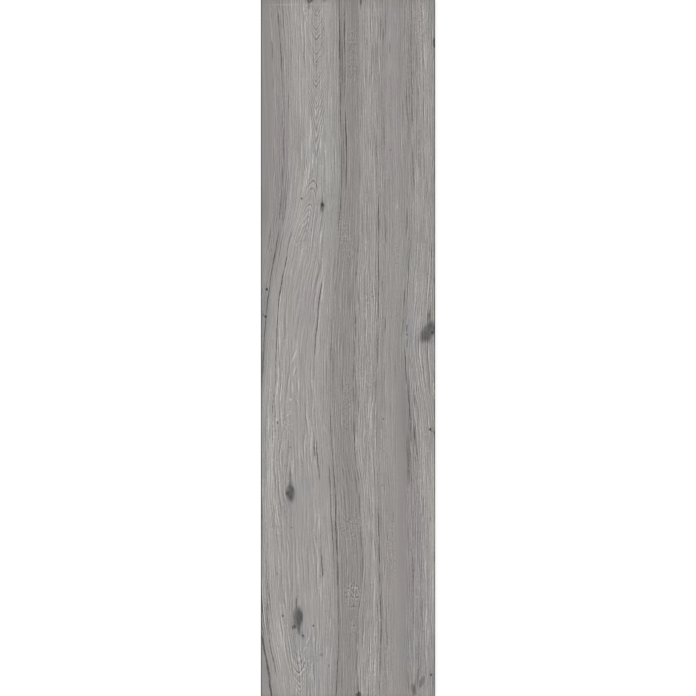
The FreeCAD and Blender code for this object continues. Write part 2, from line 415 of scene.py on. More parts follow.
# The two shades with a half length of 99999, at 0 and 300 across, are painted shade along the long
# edges, darker on the left
SHADES = (
    (160, 20, 20, 150, -4), (250, 720, 16, 170, -7), (268, 545, 14, 70, 8),
    (288, 820, 24, 170, 5), (296, 1000, 12, 230, 8), (48, 850, 26, 60, -4),
    (63, 1070, 26, 70, -4), (165, 30, 10, 80, -4), (5, 800, 8, 260, -6), (0.5, 800, 3, 45, -50),
    (0.5, 1035, 3, 60, -50), (0.5, 662, 2.5, 18, -30), (14, 550, 16, 70, -7),
    (12, 1060, 14, 120, -7), (60, 450, 30, 110, -3), (100, 850, 24, 240, -4),
    (222, 500, 14, 190, -4), (243, 470, 12, 160, 5), (201, 40, 12, 70, 6),
    (222, 1000, 20, 260, -3), (200, 880, 18, 160, -3), (98, 250, 18, 120, -3),
    (62, 260, 14, 110, -3), (300, 940, 8, 260, 7), (50, 1060, 30, 260, -7),
    (45, 530, 24, 110, -4), (7, 360, 12, 60, -8), (6, 600, 14, 90, -4), (245, 250, 26, 160, 4),
    (70, 250, 24, 110, -4), (0, 600, 2.5, 99999, -150), (300, 600, 2.2, 99999, -84),
    (150, 6, 99999, 14, -3),
)
STRENGTH_SHIFTS = (
    (66, 862, 34, 90, -0.65), (82, 1060, 34, 80, -0.5), (245, 740, 18, 170, -0.6),
    (240, 1000, 22, 260, -0.45), (80, 345, 24, 22, -0.6), (55, 740, 26, 70, -0.55),
    (68, 560, 50, 230, -0.5), (62, 980, 44, 120, -0.4), (100, 840, 26, 60, -0.5),
    (228, 60, 14, 90, -0.3), (51, 850, 11, 20, -1.2), (64, 1064, 11, 26, -1.2),
    (288, 572, 12, 20, -1.2), (12, 780, 16, 230, 0.75), (10, 1040, 14, 120, 0.6),
    (6, 1170, 10, 50, -0.4),
)
STIPPLE = (
    (158, 95, 12, 70, 0.8), (147, 700, 10, 75, 0.6), (152, 905, 24, 30, 0.8),
    (157, 1022, 18, 26, 1.5), (140, 395, 13, 34, 0.7), (225, 950, 13, 80, 0.5),
    (274, 45, 16, 44, 0.8), (186, 508, 16, 22, 0.6), (230, 545, 9, 14, 0.5),
    (186, 650, 12, 34, 0.5), (160, 1075, 10, 34, 0.6), (74, 1145, 20, 34, 0.5),
    (45, 735, 14, 34, 0.5), (232, 440, 10, 34, 0.6), (150, 430, 16, 30, 0.6),
    (170, 640, 8, 40, 0.5), (220, 1130, 12, 60, 0.4), (297, 668, 4, 26, 1.0),
    (190, 1150, 12, 50, 0.4), (70, 420, 18, 24, 0.5),
)
COOL = (
    (-8, 90, 29, 160, 0.9), (-8, 720, 29, 520, 0.9), (230, 82, 14, 30, 0.9),
    (230, 205, 14, 34, 0.8), (90, 272, 14, 40, 0.9), (52, 876, 16, 50, 0.8),
    (72, 870, 14, 44, 0.6), (72, 1060, 16, 40, 0.7), (75, 1115, 30, 44, 1.2),
    (92, 1170, 16, 50, 1.2), (252, 572, 12, 40, 0.8), (250, 1110, 16, 44, 1.1),
    (292, 1180, 12, 40, 0.8), (79, 832, 14, 30, 0.7),
)
BLUE = (
    (-8, 275, 29, 130, 1.3), (-8, 530, 27, 70, 1.3), (290, 580, 14, 44, 1.2),
    (6, 1175, 14, 44, 1.2), (260, 575, 12, 34, 0.7), (79, 834, 12, 14, 0.7),
)
MAUVE = (
    (34, 200, 14, 70, 1.0), (40, 345, 26, 130, 1.1), (84, 380, 16, 70, 1.1),
    (226, 30, 16, 34, 1.1), (228, 150, 16, 30, 1.1), (228, 275, 14, 44, 1.1),
    (84, 520, 26, 60, 1.1), (266, 560, 16, 80, 0.9), (252, 690, 16, 110, 1.1),
    (252, 940, 22, 180, 1.2), (272, 980, 18, 170, 1.1), (114, 1140, 16, 70, 1.1),
    (276, 1140, 24, 90, 0.9), (292, 1040, 14, 70, 0.7),
)
GREEN = (
    (110, 300, 16, 150, 1.3), (128, 290, 14, 170, 0.8), (295, 40, 14, 60, 1.0),
    (250, 450, 14, 44, 0.9), (250, 262, 14, 44, 0.7), (44, 520, 14, 60, 0.6),
)
print(len(BANDS), "points in the bands, and", len(SHADES), "shades over them")

# %% [markdown]
# ## From lists to nodes
#
# The print is needed twice: in the material, where it gives colour, and in the tree that
# makes the mesh, where it gives the depth of the pressed grain. On a real tile of this kind
# the two are in register, which is what makes it feel like wood. Material trees and geometry
# trees share these kinds of node, so the functions below can build the same figure in either.
#
# What comes up many times is a group, a node with a net of its own inside. One soft mark is
# such a group. It takes a running sum and adds itself to it, so a whole list of marks is a
# plain chain of nodes. The grain line, the fibres and each column of arches are groups too.

# %% Groups, and curves through given points
GROUP_NODES = {"ShaderNodeTree": "ShaderNodeGroup", "GeometryNodeTree": "GeometryNodeGroup"}
GUIDE_SPAN_MM = WIDTH_MM + 2 * GUIDE_REACH_MM


def new_group(name, kind, numbers, vectors, gives):
    """An empty group with these numbers and vectors as inputs, and what its inputs bring."""
    tree = bpy.data.node_groups.new(name, kind)
    for given in (*vectors, *numbers):
        sort = "NodeSocketVector" if given in vectors else "NodeSocketFloat"
        tree.interface.new_socket(given, in_out="INPUT", socket_type=sort)
    for given in gives:
        tree.interface.new_socket(given, in_out="OUTPUT", socket_type="NodeSocketFloat")
    return tree, add(tree, "NodeGroupInput").outputs


def draw_curve(curve, points, low, high, span):
    """Shapes a curve node: each point's place and value are turned to shares of their ranges."""
    line = curve.mapping.curves[0]
    start, end = span
    shares = [
        ((at - start) / (end - start), (value - low) / (high - low)) for at, value in points
    ]
    line.points[0].location = shares[0]
    line.points[1].location = shares[-1]
    for share in shares[1:-1]:
        line.points.new(*share)
    curve.mapping.update()


# %% One soft mark, and noise stretched along the grain
def soft_mark(kind):
    """A group that adds one soft oval to a sum: full in its core and nothing at its rim."""
    tree, given = new_group(
        "Soft mark", kind, ("Sum", "Core", "Levels"), ("Place", "Scale", "Shift"), ("Sum",)
    )
    feeds = (given["Place"], given["Scale"], given["Shift"])
    spot = add(tree, "ShaderNodeVectorMath", feeds, operation="MULTIPLY_ADD")
    out = add(tree, "ShaderNodeVectorMath", (spot,), operation="LENGTH").outputs["Value"]
    fade = (out, given["Core"], 1.0, given["Levels"], 0.0)
    lens = add(tree, "ShaderNodeMapRange", fade, interpolation_type="SMOOTHSTEP", clamp=False)
    total = add(tree, "ShaderNodeMath", (lens, given["Sum"]), operation="ADD")
    add(tree, "NodeGroupOutput", (total,))
    return tree


def add_marks(tree, mark, place, marks, core=0.0):
    """The sum of soft ovals, each with its place, reach, an optional tilt, and its levels."""
    total = 0.0
    for across, down, half_width, half_length, *tilt, levels in marks:
        seen_from = place
        if tilt:
            turn = (place, (across, down, 0.0), (0.0, 0.0, 1.0), math.radians(tilt[0]))
            seen_from = add(tree, "ShaderNodeVectorRotate", turn, rotation_type="Z_AXIS")
        feeds = {
            "Sum": total, "Core": core, "Levels": float(levels), "Place": seen_from,
            "Scale": (1 / half_width, 1 / half_length, 0.0),
            "Shift": (-across / half_width, -down / half_length, 0.0),
        }
        total = add(tree, GROUP_NODES[tree.bl_idname], feeds, node_tree=mark)
    return total


def stretched_noise(tree, place, width, length, detail=2.0, roughness=0.5):
    """Noise whose grains are this wide and this long, in millimetres, from about -1 to 1."""
    scaled = add(
        tree, "ShaderNodeVectorMath", (place, (1 / width, 1 / length, 0.0)), operation="MULTIPLY"
    )
    feeds = {"Vector": scaled, "Scale": 1.0, "Detail": detail, "Roughness": roughness}
    noise = add(tree, "ShaderNodeTexNoise", feeds, noise_dimensions="2D")
    return add(tree, "ShaderNodeMath", (noise.outputs[0], 2.0, -1.0), operation="MULTIPLY_ADD")


# %% The grain line
def grain_line(kind):
    """A group that gives the grain line through a place, and the curves of the guides."""
    tree, given = new_group("Grain line", kind, (), ("Place",), ("Grain",))
    split = add(tree, "ShaderNodeSeparateXYZ", (given["Place"],)).outputs
    share = add(tree, "ShaderNodeMath", (split["Y"], LENGTH_MM), operation="DIVIDE")
    curves, lines = [], []
    for _, points in GUIDES:
        curve = add(tree, "ShaderNodeFloatCurve", {"Value": share})
        draw_curve(curve, points, -GUIDE_REACH_MM, WIDTH_MM + GUIDE_REACH_MM, (0.0, LENGTH_MM))
        curves.append(curve)
        unfold = (curve, GUIDE_SPAN_MM, -GUIDE_REACH_MM)
        lines.append(add(tree, "ShaderNodeMath", unfold, operation="MULTIPLY_ADD"))
    marks = [mark for mark, _ in GUIDES]
    grain = float(marks[0])
    for at in range(len(marks) - 1):
        share = (split["X"], lines[at], lines[at + 1], 0.0, float(marks[at + 1] - marks[at]))
        step = add(tree, "ShaderNodeMapRange", share)
        grain = add(tree, "ShaderNodeMath", (grain, step), operation="ADD")
    add(tree, "NodeGroupOutput", (grain,))
    return tree, curves


def grain_at(curves, across, down):
    """The same grain line as a number, for a place given in the lists above."""
    lines = [
        curve.mapping.evaluate(curve.mapping.curves[0], down / LENGTH_MM) * GUIDE_SPAN_MM
        - GUIDE_REACH_MM
        for curve in curves
    ]
    for at in range(len(lines) - 1):
        if across <= lines[at + 1]:
            share = (across - lines[at]) / (lines[at + 1] - lines[at])
            return GUIDES[at][0] + share * (GUIDES[at + 1][0] - GUIDES[at][0])
    return float(GUIDES[-1][0])


# %% One column of arches
RING_LEVELS = 50.0
RING_INK = 1.3
BEND_TOP = 4.0
FULL_REACH = 0.5
LEAST_GAP_MM = 0.1


def ring_points(rings, span):
    """The points of a curve that is nothing but between rings, and peaks on each of them."""
    points = [(span[0], 0.0)]
    for down, half, levels in rings:
        if down - half > points[-1][0] + LEAST_GAP_MM:
            points.append((down - half, 0.0))
        points += [(down, levels), (down + half, 0.0)]
    points = [point for point in points if point[0] < span[1]]
    return [*points, (span[1], 0.0)]


def arch_column(name, kind, column):
    """A group that gives one column of arches at a place, in grey levels."""
    tree, given = new_group(name, kind, (), ("Place",), ("Levels",))
    split = add(tree, "ShaderNodeSeparateXYZ", (given["Place"],)).outputs
    across, down = split["X"], split["Y"]
    start, end = column["span"]
    length = end - start
    middle = add(
        tree, "ShaderNodeMath", (down, column["lean"], column["middle"] - column["lean"] * start),
        operation="MULTIPLY_ADD",
    )
    offset = add(tree, "ShaderNodeMath", (across, middle), operation="SUBTRACT")
    aside = add(tree, "ShaderNodeMath", (offset,), operation="ABSOLUTE")
    steep = add(tree, "ShaderNodeMath", (offset, column["skew"], aside), operation="MULTIPLY_ADD")
    rise = add(tree, "ShaderNodeMath", (steep, ARCH_POWER), operation="POWER")
    feeds = (down, 1 / length, -start / length)
    share = add(tree, "ShaderNodeMath", feeds, operation="MULTIPLY_ADD", use_clamp=True)
    bend = add(tree, "ShaderNodeFloatCurve", {"Value": share})
    draw_curve(bend, column["bends"], 0.0, BEND_TOP, column["span"])
    lift = add(tree, "ShaderNodeMath", (rise, bend), operation="MULTIPLY")
    feeds = (lift, column["points"] * BEND_TOP / length, share)
    ring = add(tree, "ShaderNodeMath", feeds, operation="MULTIPLY_ADD", use_clamp=True)
    ink = add(tree, "ShaderNodeFloatCurve", {"Value": ring})
    rings = ring_points(column["rings"], column["span"])
    draw_curve(ink, rings, -RING_LEVELS, RING_LEVELS, column["span"])
    feeds = (ink, 2 * RING_INK * RING_LEVELS, -RING_INK * RING_LEVELS)
    ink = add(tree, "ShaderNodeMath", feeds, operation="MULTIPLY_ADD")
    fade = (aside, FULL_REACH * column["reach"], column["reach"], 1.0, 0.0)
    window = add(tree, "ShaderNodeMapRange", fade, interpolation_type="SMOOTHSTEP", clamp=False)
    ink = add(tree, "ShaderNodeMath", (ink, window), operation="MULTIPLY")
    add(tree, "NodeGroupOutput", (ink,))
    return tree


# %% [markdown]
# ## The fibres between the marks
#
# No one draws every fibre by hand. Three combs of thin ink lines, 2.5 to 7.3 mm apart, fill
# the board. Each line sways, comes and goes, and is dark with a pale rim on its right: ink
# with painted shade beside a painted highlight, as on the two walls of a pressed groove lit
# from the left. Wider strips under them, and short pores and glints over them, come from
# noise that is stretched along the grain. Seeds keep all of it the same on each run.

# %% Ink lines side by side
# How ink lines sway and fade, in shares of their spacing and length, and their profile in mm
SWAY_WIDTH = 2.2
SWAY_LENGTH = 1.4
SWAY_SHARE = 0.6
SEEN_WIDTH = 0.7
SEEN_RANGE = (-0.35, 0.55, 0.0, 1.4)
# The profile is ink and painted shade, then a painted highlight where a groove's far wall would
# catch the light
INK_AND_PAINTED_GROOVE_PROFILE = ((-0.9, 0), (0, -1), (0.7, 0.95), (1.7, 0))


def ink_lines(tree, place, spacing, length):
    """Swaying lines that come and go: ink and painted shade, with a painted highlight on the
    right.
    """
    sway = stretched_noise(tree, place, SWAY_WIDTH * spacing, SWAY_LENGTH * length, 0.0)
    across = add(tree, "ShaderNodeSeparateXYZ", (place,)).outputs["X"]
    turns = add(tree, "ShaderNodeMath", (across, spacing), operation="DIVIDE")
    turns = add(tree, "ShaderNodeMath", (sway, SWAY_SHARE, turns), operation="MULTIPLY_ADD")
    share = add(tree, "ShaderNodeMath", (turns,), operation="FRACT")
    curve = add(tree, "ShaderNodeFloatCurve", {"Value": share})
    profile = [(0.5 + mm / spacing, value) for mm, value in INK_AND_PAINTED_GROOVE_PROFILE if abs(mm) < spacing / 2]
    draw_curve(curve, [(0, 0), *profile, (1, 0)], -1.0, 1.0, (0.0, 1.0))
    lines = add(tree, "ShaderNodeMath", (curve, 2.0, -1.0), operation="MULTIPLY_ADD")
    seen = stretched_noise(tree, place, SEEN_WIDTH * spacing, length, 1.0)
    seen = add(tree, "ShaderNodeMapRange", (seen, *SEEN_RANGE))
    return add(tree, "ShaderNodeMath", (lines, seen), operation="MULTIPLY")


# %% The fibres between the marks
# Strips: (width, length, sharpness, grey levels, seed)
# Fibres: (spacing, length, grey levels, seed)
STRIPS = ((5.0, 420.0, 0.25, 3.0, 137.0), (14.0, 400.0, 0.50, 2.0, 71.0))
FIBRES = ((2.5, 32.0, 26.0, 311.0), (3.9, 75.0, 26.0, 523.0), (7.3, 170.0, 22.0, 631.0))
PORE_RANGE = (-0.3, -0.6)
GLINT_RANGE = (0.3, 0.6)
DASH_WIDTH = 1.4
DASH_LENGTH = 5.0
PORE_LEVELS = -22.0
GLINT_LEVELS = 22.0
STIPPLE_WIDTH = 1.8
STIPPLE_LENGTH = 3.8
STIPPLE_LEVELS = 17.0
STIPPLE_SHARPNESS = 0.3


def crisp(tree, noise, sharpness):
    """Noise pushed towards -1 and 1, which are reached where it passes this value."""
    feeds = (noise, -sharpness, sharpness, -1.0, 1.0)
    return add(tree, "ShaderNodeMapRange", feeds, interpolation_type="SMOOTHSTEP", clamp=False)


def seeded(tree, place, seed):
    """A place moved far away by a seed, where the same noise looks different."""
    return add(tree, "ShaderNodeVectorMath", (place, (seed, seed, 0.0)), operation="ADD")


def fibre_field(kind):
    """A group that gives the fibres at a place on the grain, in grey levels."""
    tree, given = new_group("Fibres", kind, ("Strength", "Stipple"), ("Place",), ("Fibres",))
    place = given["Place"]
    fibres = 0.0
    for width, length, sharpness, levels, seed in STRIPS:
        noise = stretched_noise(tree, seeded(tree, place, seed), width, length, 1.0, 0.6)
        noise = crisp(tree, noise, sharpness)
        fibres = add(tree, "ShaderNodeMath", (noise, levels, fibres), operation="MULTIPLY_ADD")
    for spacing, length, levels, seed in FIBRES:
        lines = ink_lines(tree, seeded(tree, place, seed), spacing, length)
        fibres = add(tree, "ShaderNodeMath", (lines, levels, fibres), operation="MULTIPLY_ADD")
    dashes = stretched_noise(tree, place, DASH_WIDTH, DASH_LENGTH, 1.0)
    pores = add(tree, "ShaderNodeMapRange", (dashes, *PORE_RANGE, 0.0, PORE_LEVELS))
    glints = add(tree, "ShaderNodeMapRange", (dashes, *GLINT_RANGE, 0.0, GLINT_LEVELS))
    fibres = add(tree, "ShaderNodeMath", (pores, fibres), operation="ADD")
    fibres = add(tree, "ShaderNodeMath", (glints, fibres), operation="ADD")
    fibres = add(tree, "ShaderNodeMath", (fibres, given["Strength"]), operation="MULTIPLY")
    short = stretched_noise(tree, place, STIPPLE_WIDTH, STIPPLE_LENGTH, 1.0)
    short = crisp(tree, short, STIPPLE_SHARPNESS)
    stipple = add(tree, "ShaderNodeMath", (short, STIPPLE_LEVELS), operation="MULTIPLY")
    feeds = (stipple, given["Stipple"], fibres)
    fibres = add(tree, "ShaderNodeMath", feeds, operation="MULTIPLY_ADD")
    add(tree, "NodeGroupOutput", (fibres,))
    return tree


# %% [markdown]
# ## The whole figure as one group
#
# Its input is a place on the board in millimetres, across from the left edge and down from
# the top. It gives the tone in grey levels, the four tints, and how deep the grain is
# pressed there. The marks of each list have a group of their own inside it, because Blender
# adds a node to a small tree much faster than to a large one.
#
# All of it adds up: bands, shades and clouds give the calm board, fibres and drawn marks lie
# on it, and knots come last. Noise loosens the drawn shapes, so that none has a ruled edge.

# %% Each list of marks as a group
PIN_KNOT_STRETCH = 1.15


def hairline(across, down, half_length, levels):
    """A hairline as a soft mark of its own width."""
    return across, down, HAIRLINE_HALF_WIDTH_MM, half_length, levels


def laid_on_grain(curves, marks):
    """Marks moved from the board to the grain line, each as wide there as on the board."""
    laid = []
    for across, down, half_width, half_length, levels in marks:
        spread = (grain_at(curves, across + 1, down) - grain_at(curves, across - 1, down)) / 2
        grain = grain_at(curves, across, down)
        laid.append((grain, down, half_width * spread, half_length, levels))
    return laid


def mark_groups(kind, mark, curves):
    """A group for each list of marks, by name, that gives the sum of its marks at a place."""
    pins = [(*spot, size, size * PIN_KNOT_STRETCH, levels) for *spot, size, levels in PIN_KNOTS]
    # The last number is the share of each mark that has its full levels
    lists = (
        ("Hairlines", laid_on_grain(curves, [hairline(*line) for line in HAIRLINES]), 0.55),
        ("Pale lines", laid_on_grain(curves, [hairline(*line) for line in PALE_LINES]), 0.5),
        ("Broad veins", laid_on_grain(curves, BROAD_VEINS), 0.3),
        ("Pale streaks", laid_on_grain(curves, PALE_STREAKS), 0.2),
        ("Strokes", STROKES, 0.4),
        ("Knots", KNOTS, 0.45),
        ("Pin knots", pins, 0.2),
        ("Shades", SHADES, 0.0),
        ("Strength", STRENGTH_SHIFTS, 0.2),
        ("Stipple", STIPPLE, 0.5),
        ("Cool", COOL, 0.6),
        ("Blue", BLUE, 0.6),
        ("Mauve", MAUVE, 0.5),
        ("Green", GREEN, 0.5),
    )
    groups = {}
    for name, marks, core in lists:
        tree, given = new_group(name, kind, (), ("Place",), ("Sum",))
        add(tree, "NodeGroupOutput", (add_marks(tree, mark, given["Place"], marks, core),))
        groups[name] = tree
    return groups


def marks_of(tree, group, place):
    """What one list of marks, or one column of arches, adds up to at a place."""
    return add(tree, GROUP_NODES[tree.bl_idname], {"Place": place}, node_tree=group)


# %% The calm tone, and fibres of uneven strength
GRAIN_SPAN = (float(GUIDES[0][0]), float(GUIDES[-1][0]))
CLOUDS_MM = (45.0, 190.0)
CLOUD_LEVELS = 4.0
LEAST_STRENGTH = 0.1


def calm_tone(tree, groups, place, grain_share):
    """Bands that follow the grain, with soft shades and clouds over them."""
    band = add(tree, "ShaderNodeFloatCurve", {"Value": grain_share})
    draw_curve(band, BANDS, BAND_LOW, BAND_HIGH, GRAIN_SPAN)
    feeds = (band, BAND_HIGH - BAND_LOW, BAND_LOW)
    tone = add(tree, "ShaderNodeMath", feeds, operation="MULTIPLY_ADD")
    shades = marks_of(tree, groups["Shades"], place)
    tone = add(tree, "ShaderNodeMath", (tone, shades), operation="ADD")
    cloud = stretched_noise(tree, place, *CLOUDS_MM)
    return add(tree, "ShaderNodeMath", (cloud, CLOUD_LEVELS, tone), operation="MULTIPLY_ADD")


def uneven_fibres(tree, groups, fibre_group, place, on_fibre, grain_share):
    """Fibres, calmer in some places and stippled in others."""
    strength = add(tree, "ShaderNodeFloatCurve", {"Value": grain_share})
    draw_curve(strength, FIBRE_STRENGTH, 0.0, STRENGTH_TOP, GRAIN_SPAN)
    shifts = marks_of(tree, groups["Strength"], place)
    feeds = (strength, STRENGTH_TOP, shifts)
    strength = add(tree, "ShaderNodeMath", feeds, operation="MULTIPLY_ADD")
    strength = add(tree, "ShaderNodeMath", (strength, LEAST_STRENGTH), operation="MAXIMUM")
    stipple = marks_of(tree, groups["Stipple"], place)
    feeds = {"Place": on_fibre, "Strength": strength, "Stipple": stipple}
    return add(tree, GROUP_NODES[tree.bl_idname], feeds, node_tree=fibre_group)


# %% Drawn marks, broken up as ink and pores break them
BREAKS_MM = (2.6, 6.0)
BREAK_STRENGTH = 1.0
BREAKS_IN_ARCHES = 0.45
ARCH_SWAY_MM = (1.1, 2.4, 0.0)


def add_drawn_marks(tree, groups, places, waver, marks):
    """Arches, strokes, lines and veins on top of the fibres. Strokes alone stay unbroken."""
    kind = tree.bl_idname
    place, on_grain, on_fibre = places
    broken = stretched_noise(tree, on_fibre, *BREAKS_MM)
    feeds = (broken, BREAK_STRENGTH, 1.0)
    unevenness = add(tree, "ShaderNodeMath", feeds, operation="MULTIPLY_ADD")
    wavy = add(tree, "ShaderNodeMath", (broken, BREAKS_IN_ARCHES, waver), operation="MULTIPLY_ADD")
    wavy = add(tree, "ShaderNodeCombineXYZ", (wavy, wavy))
    feeds = (wavy, ARCH_SWAY_MM, place)
    loose = add(tree, "ShaderNodeVectorMath", feeds, operation="MULTIPLY_ADD")
    for name, column in ARCH_COLUMNS.items():
        arches = marks_of(tree, arch_column(name, kind, column), loose)
        marks = add(tree, "ShaderNodeMath", (arches, unevenness, marks), operation="MULTIPLY_ADD")
    strokes = marks_of(tree, groups["Strokes"], place)
    marks = add(tree, "ShaderNodeMath", (strokes, marks), operation="ADD")
    for name in ("Hairlines", "Pale lines", "Broad veins", "Pale streaks"):
        lines = marks_of(tree, groups[name], on_grain)
        marks = add(tree, "ShaderNodeMath", (lines, unevenness, marks), operation="MULTIPLY_ADD")
    return marks


# %% Knots: fibres that swerve round them, and their ragged rims
RIMS_MM = (3.0, 4.5)
RIM_JITTER_MM = (0.9, 1.3, 0.0)
KNOT_MOTTLE = 0.14


def swerved_across(tree, mark, place, across):
    """How far across a fibre would lie if the large knots had not pushed it aside."""
    pushed = across
    for swerve in SWERVES:
        share = add_marks(tree, mark, place, [swerve])
        aside = add(tree, "ShaderNodeMath", (swerve[0], across), operation="SUBTRACT")
        pushed = add(tree, "ShaderNodeMath", (aside, share, pushed), operation="MULTIPLY_ADD")
    return pushed


def ragged_knots(tree, groups, place):
    """The knots, ragged and mottled, and the pin knots."""
    ragged = stretched_noise(tree, place, *RIMS_MM)
    jitter = add(tree, "ShaderNodeCombineXYZ", (ragged, ragged))
    feeds = (jitter, RIM_JITTER_MM, place)
    loose = add(tree, "ShaderNodeVectorMath", feeds, operation="MULTIPLY_ADD")
    knots = marks_of(tree, groups["Knots"], loose)
    mottle = add(tree, "ShaderNodeMath", (ragged, KNOT_MOTTLE, 1.0), operation="MULTIPLY_ADD")
    knots = add(tree, "ShaderNodeMath", (knots, mottle), operation="MULTIPLY")
    pins = marks_of(tree, groups["Pin knots"], place)
    return add(tree, "ShaderNodeMath", (knots, pins), operation="ADD")


# %% Build the figure
TINT_NAMES = ("Cool", "Blue", "Mauve", "Green")
WAVER_MM = (7.0, 22.0)
WAVER_ASIDE_MM = 0.6
WANDER_MM = (26.0, 110.0)
WANDER_ASIDE_MM = 1.6

# The face is highest where the marks add 24 levels, and deepest where they take 60
HIGHEST_LEVELS = 24.0
DEEPEST_LEVELS = -60.0
DEEPEST_MM = 0.30
KNOT_DEPTH_SHARE = 0.5


def wood_figure(kind):
    """The printed board as a node group of this kind of tree."""
    mark, fibre_group = soft_mark(kind), fibre_field(kind)
    line_group, curves = grain_line(kind)
    groups = mark_groups(kind, mark, curves)
    tree, given = new_group("Old grey oak", kind, (), ("Place",), ("Tone", *TINT_NAMES, "Depth"))
    place = given["Place"]
    split = add(tree, "ShaderNodeSeparateXYZ", (place,)).outputs
    across, down = split["X"], split["Y"]

    # The grain line swerves and wavers, and the small fibres wander about it
    pushed = swerved_across(tree, mark, place, across)
    waver = stretched_noise(tree, place, *WAVER_MM, 1.0)
    pushed = add(tree, "ShaderNodeMath", (waver, WAVER_ASIDE_MM, pushed), operation="MULTIPLY_ADD")
    swerved = add(tree, "ShaderNodeCombineXYZ", (pushed, down))
    grain = add(tree, GROUP_NODES[kind], {"Place": swerved}, node_tree=line_group)
    wander = stretched_noise(tree, place, *WANDER_MM)
    feeds = (wander, WANDER_ASIDE_MM, grain)
    fibre_line = add(tree, "ShaderNodeMath", feeds, operation="MULTIPLY_ADD")
    on_grain = add(tree, "ShaderNodeCombineXYZ", (grain, down))
    on_fibre = add(tree, "ShaderNodeCombineXYZ", (fibre_line, down))

    # The tone is the sum of the calm board, its fibres and marks, and its knots
    grain_share = add(tree, "ShaderNodeMapRange", (grain, *GRAIN_SPAN, 0.0, 1.0))
    tone = calm_tone(tree, groups, place, grain_share)
    marks = uneven_fibres(tree, groups, fibre_group, place, on_fibre, grain_share)
    marks = add_drawn_marks(tree, groups, (place, on_grain, on_fibre), waver, marks)
    knots = ragged_knots(tree, groups, place)
    tone = add(tree, "ShaderNodeMath", (tone, marks), operation="ADD")
    tone = add(tree, "ShaderNodeMath", (tone, knots), operation="ADD")

    # Dark marks are grooves, and pale ones stand up
    depth = add(tree, "ShaderNodeMath", (knots, KNOT_DEPTH_SHARE, marks), operation="MULTIPLY_ADD")
    feeds = (depth, HIGHEST_LEVELS, DEEPEST_LEVELS, 0.0, DEEPEST_MM)
    depth = add(tree, "ShaderNodeMapRange", feeds)
    tints = [marks_of(tree, groups[name], place) for name in TINT_NAMES]
    add(tree, "NodeGroupOutput", (tone, *tints, depth))
    return tree


shader_figure = wood_figure("ShaderNodeTree")
mesh_figure = wood_figure("GeometryNodeTree")
print(len(shader_figure.nodes), "nodes in the figure,", len(bpy.data.node_groups), "groups in all")

# %% [markdown]
# ## The tile as one closed skin
#
# A pressed tile is one piece, so its visible skin is one closed mesh. Its face is a fine grid
# pushed down by the depth of the grain. The rim of that grid is drawn out to the arris and
# then down the ground sides. The back is a flat sheet with 420 shallow pockets in it, which
# leave the ribs that mortar grips. All pockets are alike, so one is made and repeated.
#
# Geometry Nodes suit this: the shape follows a rule from a few sizes, which stay named inputs
# of the tree. Modelling it by hand would take thousands of equal steps.

# %% One pocket of the keyed back
def cut_corner_ring(width, length, cut, height):
    """The eight corners of a rectangle whose corners are cut off, counter-clockwise."""
    ring = []
    for side_x, side_y in ((1, -1), (1, 1), (-1, 1), (-1, -1)):
        on_end = (side_x * (width / 2 - cut), side_y * length / 2, height)
        on_side = (side_x * width / 2, side_y * (length / 2 - cut), height)
        ring += [on_end, on_side] if side_x * side_y < 0 else [on_side, on_end]
    return ring


PITCH_X = (WIDTH - 2 * BORDER + RIB) / KEYS_ACROSS
PITCH_Y = (LENGTH - 2 * BORDER + RIB) / KEYS_ALONG
FLOOR_CUT = KEY_CUT - KEY_SLOPE * (2 - math.sqrt(2))


def pocket_mesh():
    """One pocket, open at its mouth, with its floor and walls facing the open air below."""
    mouth = cut_corner_ring(PITCH_X - RIB, PITCH_Y - RIB, KEY_CUT, 0.0)
    floor = cut_corner_ring(
        PITCH_X - RIB - 2 * KEY_SLOPE, PITCH_Y - RIB - 2 * KEY_SLOPE, FLOOR_CUT, KEY_DEPTH
    )
    sides = len(mouth)
    walls = [(at, at + sides, (at + 1) % sides + sides, (at + 1) % sides) for at in range(sides)]
    mesh = bpy.data.meshes.new("key_pocket")
    mesh.from_pydata(mouth + floor, [], [*walls, tuple(reversed(range(sides, 2 * sides)))])
    return mesh


pocket = bpy.data.objects.new("key_pocket", pocket_mesh())
print(f"pockets are {(PITCH_X - RIB) / MM:.2f} x {(PITCH_Y - RIB) / MM:.2f} mm at the mouth")

# %% The printed face, with its points 0.75 mm apart across the grain and 6 mm along it
FACE_COLUMNS = 401
FACE_ROWS = 200


def place_on_board(tree, position):
    """A place in metres, from the middle of the tile, as millimetres across and down."""
    scale = (1 / MM, -1 / MM, 0.0)
    shift = (WIDTH_MM / 2, LENGTH_MM / 2, 0.0)
    return add(tree, "ShaderNodeVectorMath", (position, scale, shift), operation="MULTIPLY_ADD")


def printed_face(tree, given, position, wide, long):
    """A fine grid at the height of the face, pushed down by the grain."""
    grid = add(tree, "GeometryNodeMeshGrid", (wide, long, FACE_COLUMNS, FACE_ROWS))
    feeds = {"Place": place_on_board(tree, position)}
    figure = add(tree, "GeometryNodeGroup", feeds, node_tree=mesh_figure)
    sink = add(tree, "ShaderNodeMath", (figure.outputs["Depth"], -MM), operation="MULTIPLY")
    sink = add(tree, "ShaderNodeMath", (sink, given["Grain depth"]), operation="MULTIPLY")
    level = add(tree, "ShaderNodeMath", (sink, given["Thickness"]), operation="ADD")
    raised = add(tree, "ShaderNodeCombineXYZ", (0.0, 0.0, level))
    face = add(tree, "GeometryNodeSetPosition", {"Geometry": grid, "Offset": raised})
    return add(tree, "GeometryNodeSetShadeSmooth", {"Geometry": face})


